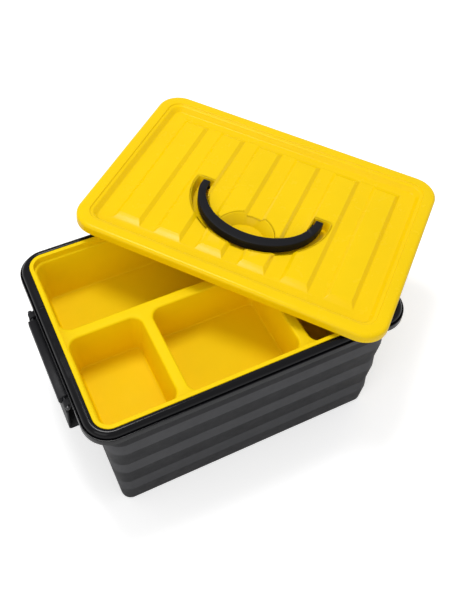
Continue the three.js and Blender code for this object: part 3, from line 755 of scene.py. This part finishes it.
def rib_hollow(name, centre):
    cover_sides = lid_thickness * np.hypot(rib_side_run, rib_height) / rib_height
    cover_ends = lid_thickness * np.hypot(rib_end_run, rib_height) / rib_height
    rows = []
    for height in (panel_under - cutter_spare, rib_top - lid_thickness):
        share = (rib_top - height) / rib_height
        grow_sides = share * rib_side_run - cover_sides
        grow_ends = share * rib_end_run - cover_ends
        rows.append([grow_sides, grow_ends, height, 0])
    return rib_skin(name, centre, rows)


def oval_ring(half_length, half_width, centre_y, height):
    angles = np.arange(oval_points) * 2 * pi / oval_points
    x, y = half_length * np.cos(angles), centre_y + half_width * np.sin(angles)
    return np.column_stack([x, y, np.full(oval_points, height)])


def edge_rows(low, high, lip):
    """Heights up a hollow, and how far it has flared out there to round its upper edge."""
    if not lip:
        return [(low, 0.0), (high, 0.0)]
    rows = [(low, 0.0)]
    for step in range(upper_edge_steps + 1):
        angle = step / upper_edge_steps * pi / 2
        rows.append((rib_top - abs(lip) * (1 - sin(angle)), lip * (1 - cos(angle))))
    return rows + [(high, lip)]


def depth_share(height):
    return (rib_top - height) / (rib_top - pan_floor)


def oval_space(
    name, low, high, half_length, half_width, draft_length, draft_width, centre_y=0.0, lip=0.0,
):
    """A tapered oval, wider by the drafts at the ribs' top than at the pan's floor."""
    rings = []
    for height, grow in edge_rows(low, high, lip):
        along = half_length - depth_share(height) * draft_length + grow
        across = half_width - depth_share(height) * draft_width + grow
        rings.append(oval_ring(along, across, centre_y, height))
    return lofted(name, rings)


def pan_form(name, low, high, wall, lip=0.0):
    half_length = handle_length / 2 + pan_side_gap + wall
    half_width = handle_reach + pan_front_gap - pivot_y + wall
    inner_length = handle_length / 2 - handle_tip - pan_inner_gap - wall
    inner_width = handle_reach - handle_grip + pivot_y - wall
    below, above = low - cutter_spare, high + cutter_spare
    drafts = pan_draft_length, pan_draft_width
    crescent = oval_space(name, low, high, half_length, half_width, *drafts, lip=lip)
    island = oval_space(
        "island", below, above, inner_length, inner_width,
        -pan_draft_length / 2, -pan_draft_length, lip=-lip,
    )
    behind = pivot_y + tip_radius + pan_end_gap + wall
    front = half_width + pan_end_radius
    rings = []
    for height, grow in edge_rows(below, above, lip):
        back = behind - depth_share(height) * pan_end_draft + grow
        wide = half_length - depth_share(height) * pan_draft_length + grow
        flat = outline(wide, (back + front) / 2, pan_end_radius + wall)
        flat[:, 1] += (back - front) / 2
        rings.append(np.column_stack([flat, np.full(len(flat), height)]))
    ahead = lofted("ahead", rings)
    cut(crescent, [island])
    cut(crescent, [ahead], "INTERSECT")
    scoop = scoop_radius + wall
    fingers = oval_space(
        "fingers", low, high, scoop, scoop, scoop_slope, scoop_slope, scoop_y, lip,
    )
    within = oval_space("within", below, above, half_length, half_width, *drafts)
    cut(fingers, [within], "INTERSECT")
    cut(crescent, [fingers], "UNION")
    return crescent


def on_each_rib(form, name):
    return [form(f"{name}_{rank}", place) for rank, place in enumerate(rib_places)]


half_panel = lid_width / 2 - panel_inset
panel_outline = outline(lid_length / 4, half_panel, 1)
envelope = lofted("envelope", [
    np.column_stack([panel_outline, np.full(len(panel_outline), height)])
    for height in (pan_under - cutter_spare, panel_height)
])
cut(envelope, on_each_rib(rib_form, "envelope_rib"), "UNION")
pan_top = rib_top + cutter_spare
pan_wall = pan_form("pan_wall", pan_under, pan_top, lid_thickness)
cut(pan_wall, [envelope], "INTERSECT")
cut(lid, on_each_rib(rib_form, "rib"), "UNION")
cut(lid, on_each_rib(rib_hollow, "hollow"))
cut(lid, [pan_wall], "UNION")
cut(lid, [pan_form("pan_space", pan_floor, pan_top, 0, lip=upper_edge)])
laid_on_rim(lid)
smooth(lid, lid_crease)
lid_plastic = fine_plastic(
    "glossy_yellow_polypropylene", (0.90, 0.60, 0.001), 0.24,
    grain=0.05, mottle=0.03, wear_and_highlight=0.03, specular=0.13,
)
coat(lid, lid_plastic)
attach(lid, "lid")
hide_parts("lid")

# The handle: a matt black crescent bail, thickest in the hand, that lies in the pan
# and swings up on two short stubs moulded inside its tips.
handle_edge, tip_drop, taper_length = 0.8, 1.9, 11.0
stub_radius, stub_engagement, stub_edge, stub_points = 1.6, 2.2, 0.4, 24
arc_steps, tip_steps, tip_short, section_steps = 72, 10, 0.15, 4
tip_tucks, tuck_below = (0.9, 0.5, 0.25, 0.1, 0.0), 0.3
handle_under = rib_top + handle_rise - handle_thickness
handle_top = handle_under + handle_thickness
pivot_z = handle_under + pivot_rise
handle_inner = handle_length / 2 - handle_tip
tip_end = pivot_y + tip_radius


def handle_low(y):
    below_pivot = max(tip_radius ** 2 - (y - pivot_y) ** 2, 0) ** 0.5
    return min(handle_under, pivot_z - below_pivot) if y < pivot_y else pivot_z - below_pivot


def handle_high(y):
    start = pivot_y - taper_length
    share = min(max((y - start) / (tip_end - start), 0), 1)
    return handle_top - tip_drop * share


def section_ring(outer, inner, low, high, edge):
    """A rounded upright section between an outer and an inner point seen from above."""
    across = inner - outer
    width = across.length
    across = across / width
    ring = []
    for corner, (u, v) in enumerate(((1, 1), (0, 1), (0, 0), (1, 0))):
        centre_u = width - edge if u else edge
        centre_v = high - edge if v else low + edge
        for step in range(section_steps + 1):
            angle = (corner + step / section_steps) * pi / 2
            place = outer + across * (centre_u + edge * cos(angle))
            ring.append((place.x, place.y, centre_v + edge * sin(angle)))
    return np.array(ring)


rings = []
stations = []
tip_start = tip_end - tip_short
for step in range(tip_steps):
    y = tip_start - (tip_start - pivot_y) * (1 - cos(step / tip_steps * pi / 2))
    stations.append((Vector((-handle_length / 2, y)), Vector((-handle_inner, y))))
for step in range(arc_steps + 1):
    angle = pi + pi * step / arc_steps
    outer_y = pivot_y + handle_reach * sin(angle)
    inner_y = pivot_y + (handle_reach - handle_grip) * sin(angle)
    outer = Vector((handle_length / 2 * cos(angle), outer_y))
    inner = Vector((handle_inner * cos(angle), inner_y))
    stations.append((outer, inner))
for outer, inner in reversed(stations[:tip_steps]):
    stations.append((Vector((-outer.x, outer.y)), Vector((-inner.x, inner.y))))
for rank, (outer, inner) in enumerate(stations):
    from_end = min(rank, len(stations) - 1 - rank)
    y = (outer.y + inner.y) / 2
    low, high = handle_low(y), handle_high(y)
    if from_end < len(tip_tucks):
        tuck = tip_tucks[from_end]
        across = (inner - outer).normalized()
        outer, inner = outer + across * tuck, inner - across * tuck
        high -= tuck
        low += tuck * tuck_below
    rings.append(section_ring(outer, inner, low, high, handle_edge))
handle = lofted("handle_bail", [ring[::-1] for ring in rings])
outward_faces(handle)
stub_reach = pan_inner_gap + stub_engagement
stub_length = handle_tip / 2 + stub_reach
stub_pieces = []
for side in (-1, 1):
    angles = np.arange(stub_points) * 2 * pi / stub_points
    rings = []
    for along, radius in (
        (0, stub_radius - stub_edge), (stub_edge, stub_radius), (stub_length, stub_radius),
    ):
        x = np.full(stub_points, side * (handle_inner - stub_reach + along))
        y, z = pivot_y + radius * np.cos(angles), pivot_z + radius * np.sin(angles)
        rings.append(np.column_stack([x, y, z]))
    stub = lofted(f"handle_stub_{'left' if side < 0 else 'right'}", rings)
    outward_faces(stub)
    stub_pieces.append(stub)
cut(handle, stub_pieces, "UNION")
laid_on_rim(handle)
smooth(handle, crease_degrees)
handle_plastic = fine_plastic(
    "matt_black_plastic", (0.005, 0.005, 0.007), 0.45,
    grain_size=0.0008, grain=0.22, wear_and_highlight=0.05, specular=0.16,
)
coat(handle, handle_plastic)
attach(handle, "handle")
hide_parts("handle")

# The latches: one black flap at each end, hanging open from its pin: a thick neck
# round the pin, and a wider thin plate with an inward grip at its foot.
latch_neck_width, latch_width, latch_thickness = 91.4, 114.6, 2.2
latch_neck_top, latch_neck_face, latch_neck_drop, latch_neck_foot = 2.9, 5.3, 5.2, 9.0
knuckle_radius, latch_face, latch_shoulder = 4.7, 2.1, 7.0
latch_reach, latch_foot_radius, latch_grip, latch_grip_height = 36.3, 3.0, 7.7, 3.4
latch_neck_edge, latch_plate_edge, knuckle_steps, foot_steps = 0.9, 0.5, 12, 6
latch_plastic = fine_plastic(
    "black_latch_plastic", (0.004, 0.004, 0.006), 0.38, grain=0.08, specular=0.1,
)


def latch_outline(end, corners):
    return [(end * (pin_x + outward), pin_z + up) for outward, up in corners]


def arc(centre_x, centre_z, radius, start, stop, steps):
    turns = [start + (stop - start) * step / steps for step in range(steps + 1)]
    return [(centre_x + radius * cos(turn), centre_z + radius * sin(turn)) for turn in turns]


latch_back = latch_face - latch_thickness
knuckle_turn = np.arcsin(latch_neck_top / knuckle_radius)
grip_end, grip_top = latch_back - latch_grip, latch_grip_height - latch_reach
foot_middle = latch_face - latch_foot_radius, latch_foot_radius - latch_reach
foot_arc = arc(*foot_middle, latch_foot_radius, 0, -pi / 2, foot_steps)
for end_name, end in (("left", -1), ("right", 1)):
    neck = pressed(f"latch_neck_{end_name}", latch_outline(end, [
        (latch_neck_face, latch_neck_top),
        *arc(0, 0, knuckle_radius, pi - knuckle_turn, 3 * pi / 2, knuckle_steps),
        (latch_back, -latch_shoulder), (latch_back, -latch_neck_foot),
        (latch_face, -latch_neck_foot), (latch_neck_face, -latch_neck_drop),
    ]), -latch_neck_width / 2, latch_neck_width / 2, latch_neck_edge)
    plate = pressed(f"latch_plate_{end_name}", latch_outline(end, [
        (latch_face, -latch_shoulder), *foot_arc,
        (grip_end, -latch_reach), (grip_end, grip_top),
        (latch_back, grip_top), (latch_back, -latch_shoulder),
    ]), -latch_width / 2, latch_width / 2, latch_plate_edge)
    for piece in (neck, plate):
        coat(piece, latch_plastic)
        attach(piece, f"latch_{end_name}")
        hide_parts(f"latch_{end_name}")

# The pins: glossy black turned rods, headed at both ends, one through the lugs and
# the latch's knuckle at each end of the tub.
pin_radius, pin_head_radius, pin_head_length, pin_points = 1.3, 2.1, 2.6, 32
head_flat, head_round_rise, head_round_run, head_edge = 0.6, 0.25, 0.2, 0.8
head_taper = 0.7
pin_plastic = fine_plastic("glossy_black_pin", (0.02, 0.02, 0.023), 0.22, grain=0.03)
shank = lug_inner + lug_width + seat_gap
pin_end = -shank - pin_head_length
profile = [
    (head_flat, pin_end),
    (pin_head_radius - head_taper, pin_end),
    (pin_head_radius - head_round_run, pin_end + head_round_rise),
    (pin_head_radius, pin_end + head_edge),
    (pin_head_radius, -shank),
    (pin_radius, -shank),
]
profile += [(radius, -along) for radius, along in reversed(profile)]
angles = np.arange(pin_points) * 2 * pi / pin_points
for end_name, end in (("left", -1), ("right", 1)):
    rings = []
    for radius, along in profile:
        x, z = end * pin_x + radius * np.cos(angles), pin_z + radius * np.sin(angles)
        rings.append(np.column_stack([x, np.full(pin_points, along), z]))
    pin = lofted(f"hinge_pin_{end_name}", rings)
    outward_faces(pin)
    coat(pin, pin_plastic)
    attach(pin, "tub")
    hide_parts(f"latch_pin_{end_name}")
